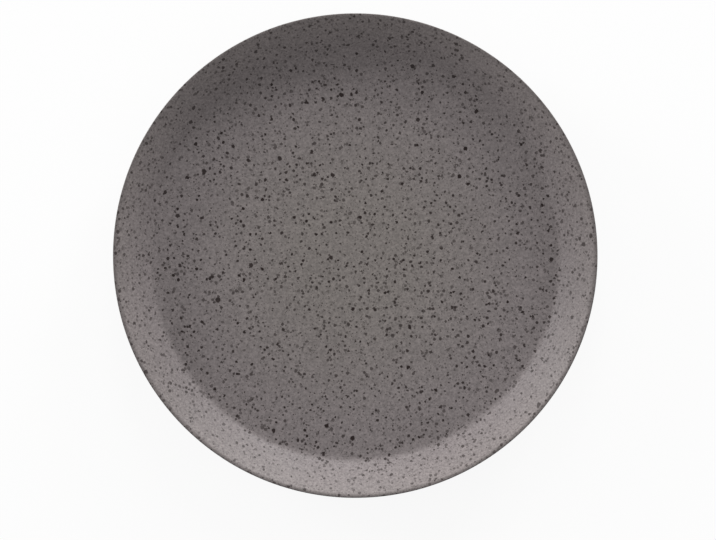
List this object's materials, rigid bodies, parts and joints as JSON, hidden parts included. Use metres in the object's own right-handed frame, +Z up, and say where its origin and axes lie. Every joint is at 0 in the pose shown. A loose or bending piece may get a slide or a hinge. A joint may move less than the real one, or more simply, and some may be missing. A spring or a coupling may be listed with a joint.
{
  "type": "coupe dinner plate",
  "caption": "Round coupe dinner plate in speckled grey glazed stoneware, with a flat floor, a straight flared wall, a rounded lip and a bare foot ring to stand on.",
  "frame": {"origin": "on the table, on the axis of the plate, in the middle of the foot ring", "axes": "+Z up along the axis of the plate, out of the eating face; +Y towards the top of the picture"},
  "size_m": [0.27, 0.27, 0.023],
  "materials": {
    "bare_stoneware": "bare fired clay, rubbed smooth on the tread",
    "speckled_glaze": "satin matt grey glaze with dark iron specks"
  },
  "bodies": {
    "root": {"stoneware_body": "bare_stoneware", "face_glaze": "speckled_glaze", "outside_glaze": "speckled_glaze", "recess_glaze": "speckled_glaze"}
  },
  "joints": []
}
